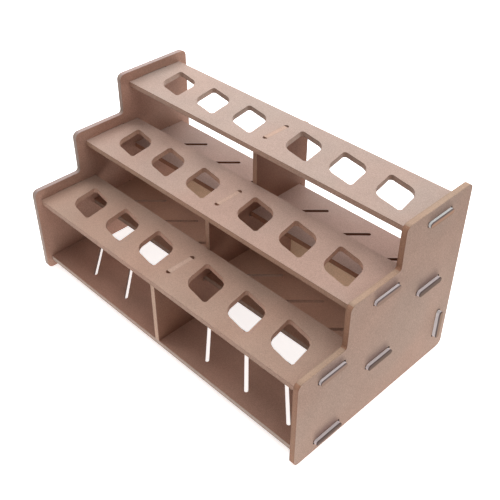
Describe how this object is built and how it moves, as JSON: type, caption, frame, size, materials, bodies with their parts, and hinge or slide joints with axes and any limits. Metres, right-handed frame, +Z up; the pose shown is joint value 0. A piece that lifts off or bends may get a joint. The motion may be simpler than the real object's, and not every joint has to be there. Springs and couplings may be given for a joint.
{
  "type": "hobby workstation organizer",
  "caption": "Tiered bench organizer of slotted fibreboard: stepped sides and a divider carry shelves with rounded holes for bottles and tools, above floors with slanted slits.",
  "frame": {"origin": "middle of the footprint, on the table", "axes": "+X along the length towards the right side, +Y from the low tier to the high tier at the rear, +Z up"},
  "size_m": [0.3072, 0.1704, 0.1528],
  "materials": {
    "fibreboard": "matte"
  },
  "bodies": {
    "root": {"left_side": "fibreboard", "right_side": "fibreboard", "centre_divider": "fibreboard", "low_shelf": "fibreboard", "middle_shelf": "fibreboard", "top_shelf": "fibreboard", "bottom_floor": "fibreboard", "middle_floor": "fibreboard", "top_floor": "fibreboard", "back_rail": "fibreboard"}
  },
  "joints": []
}
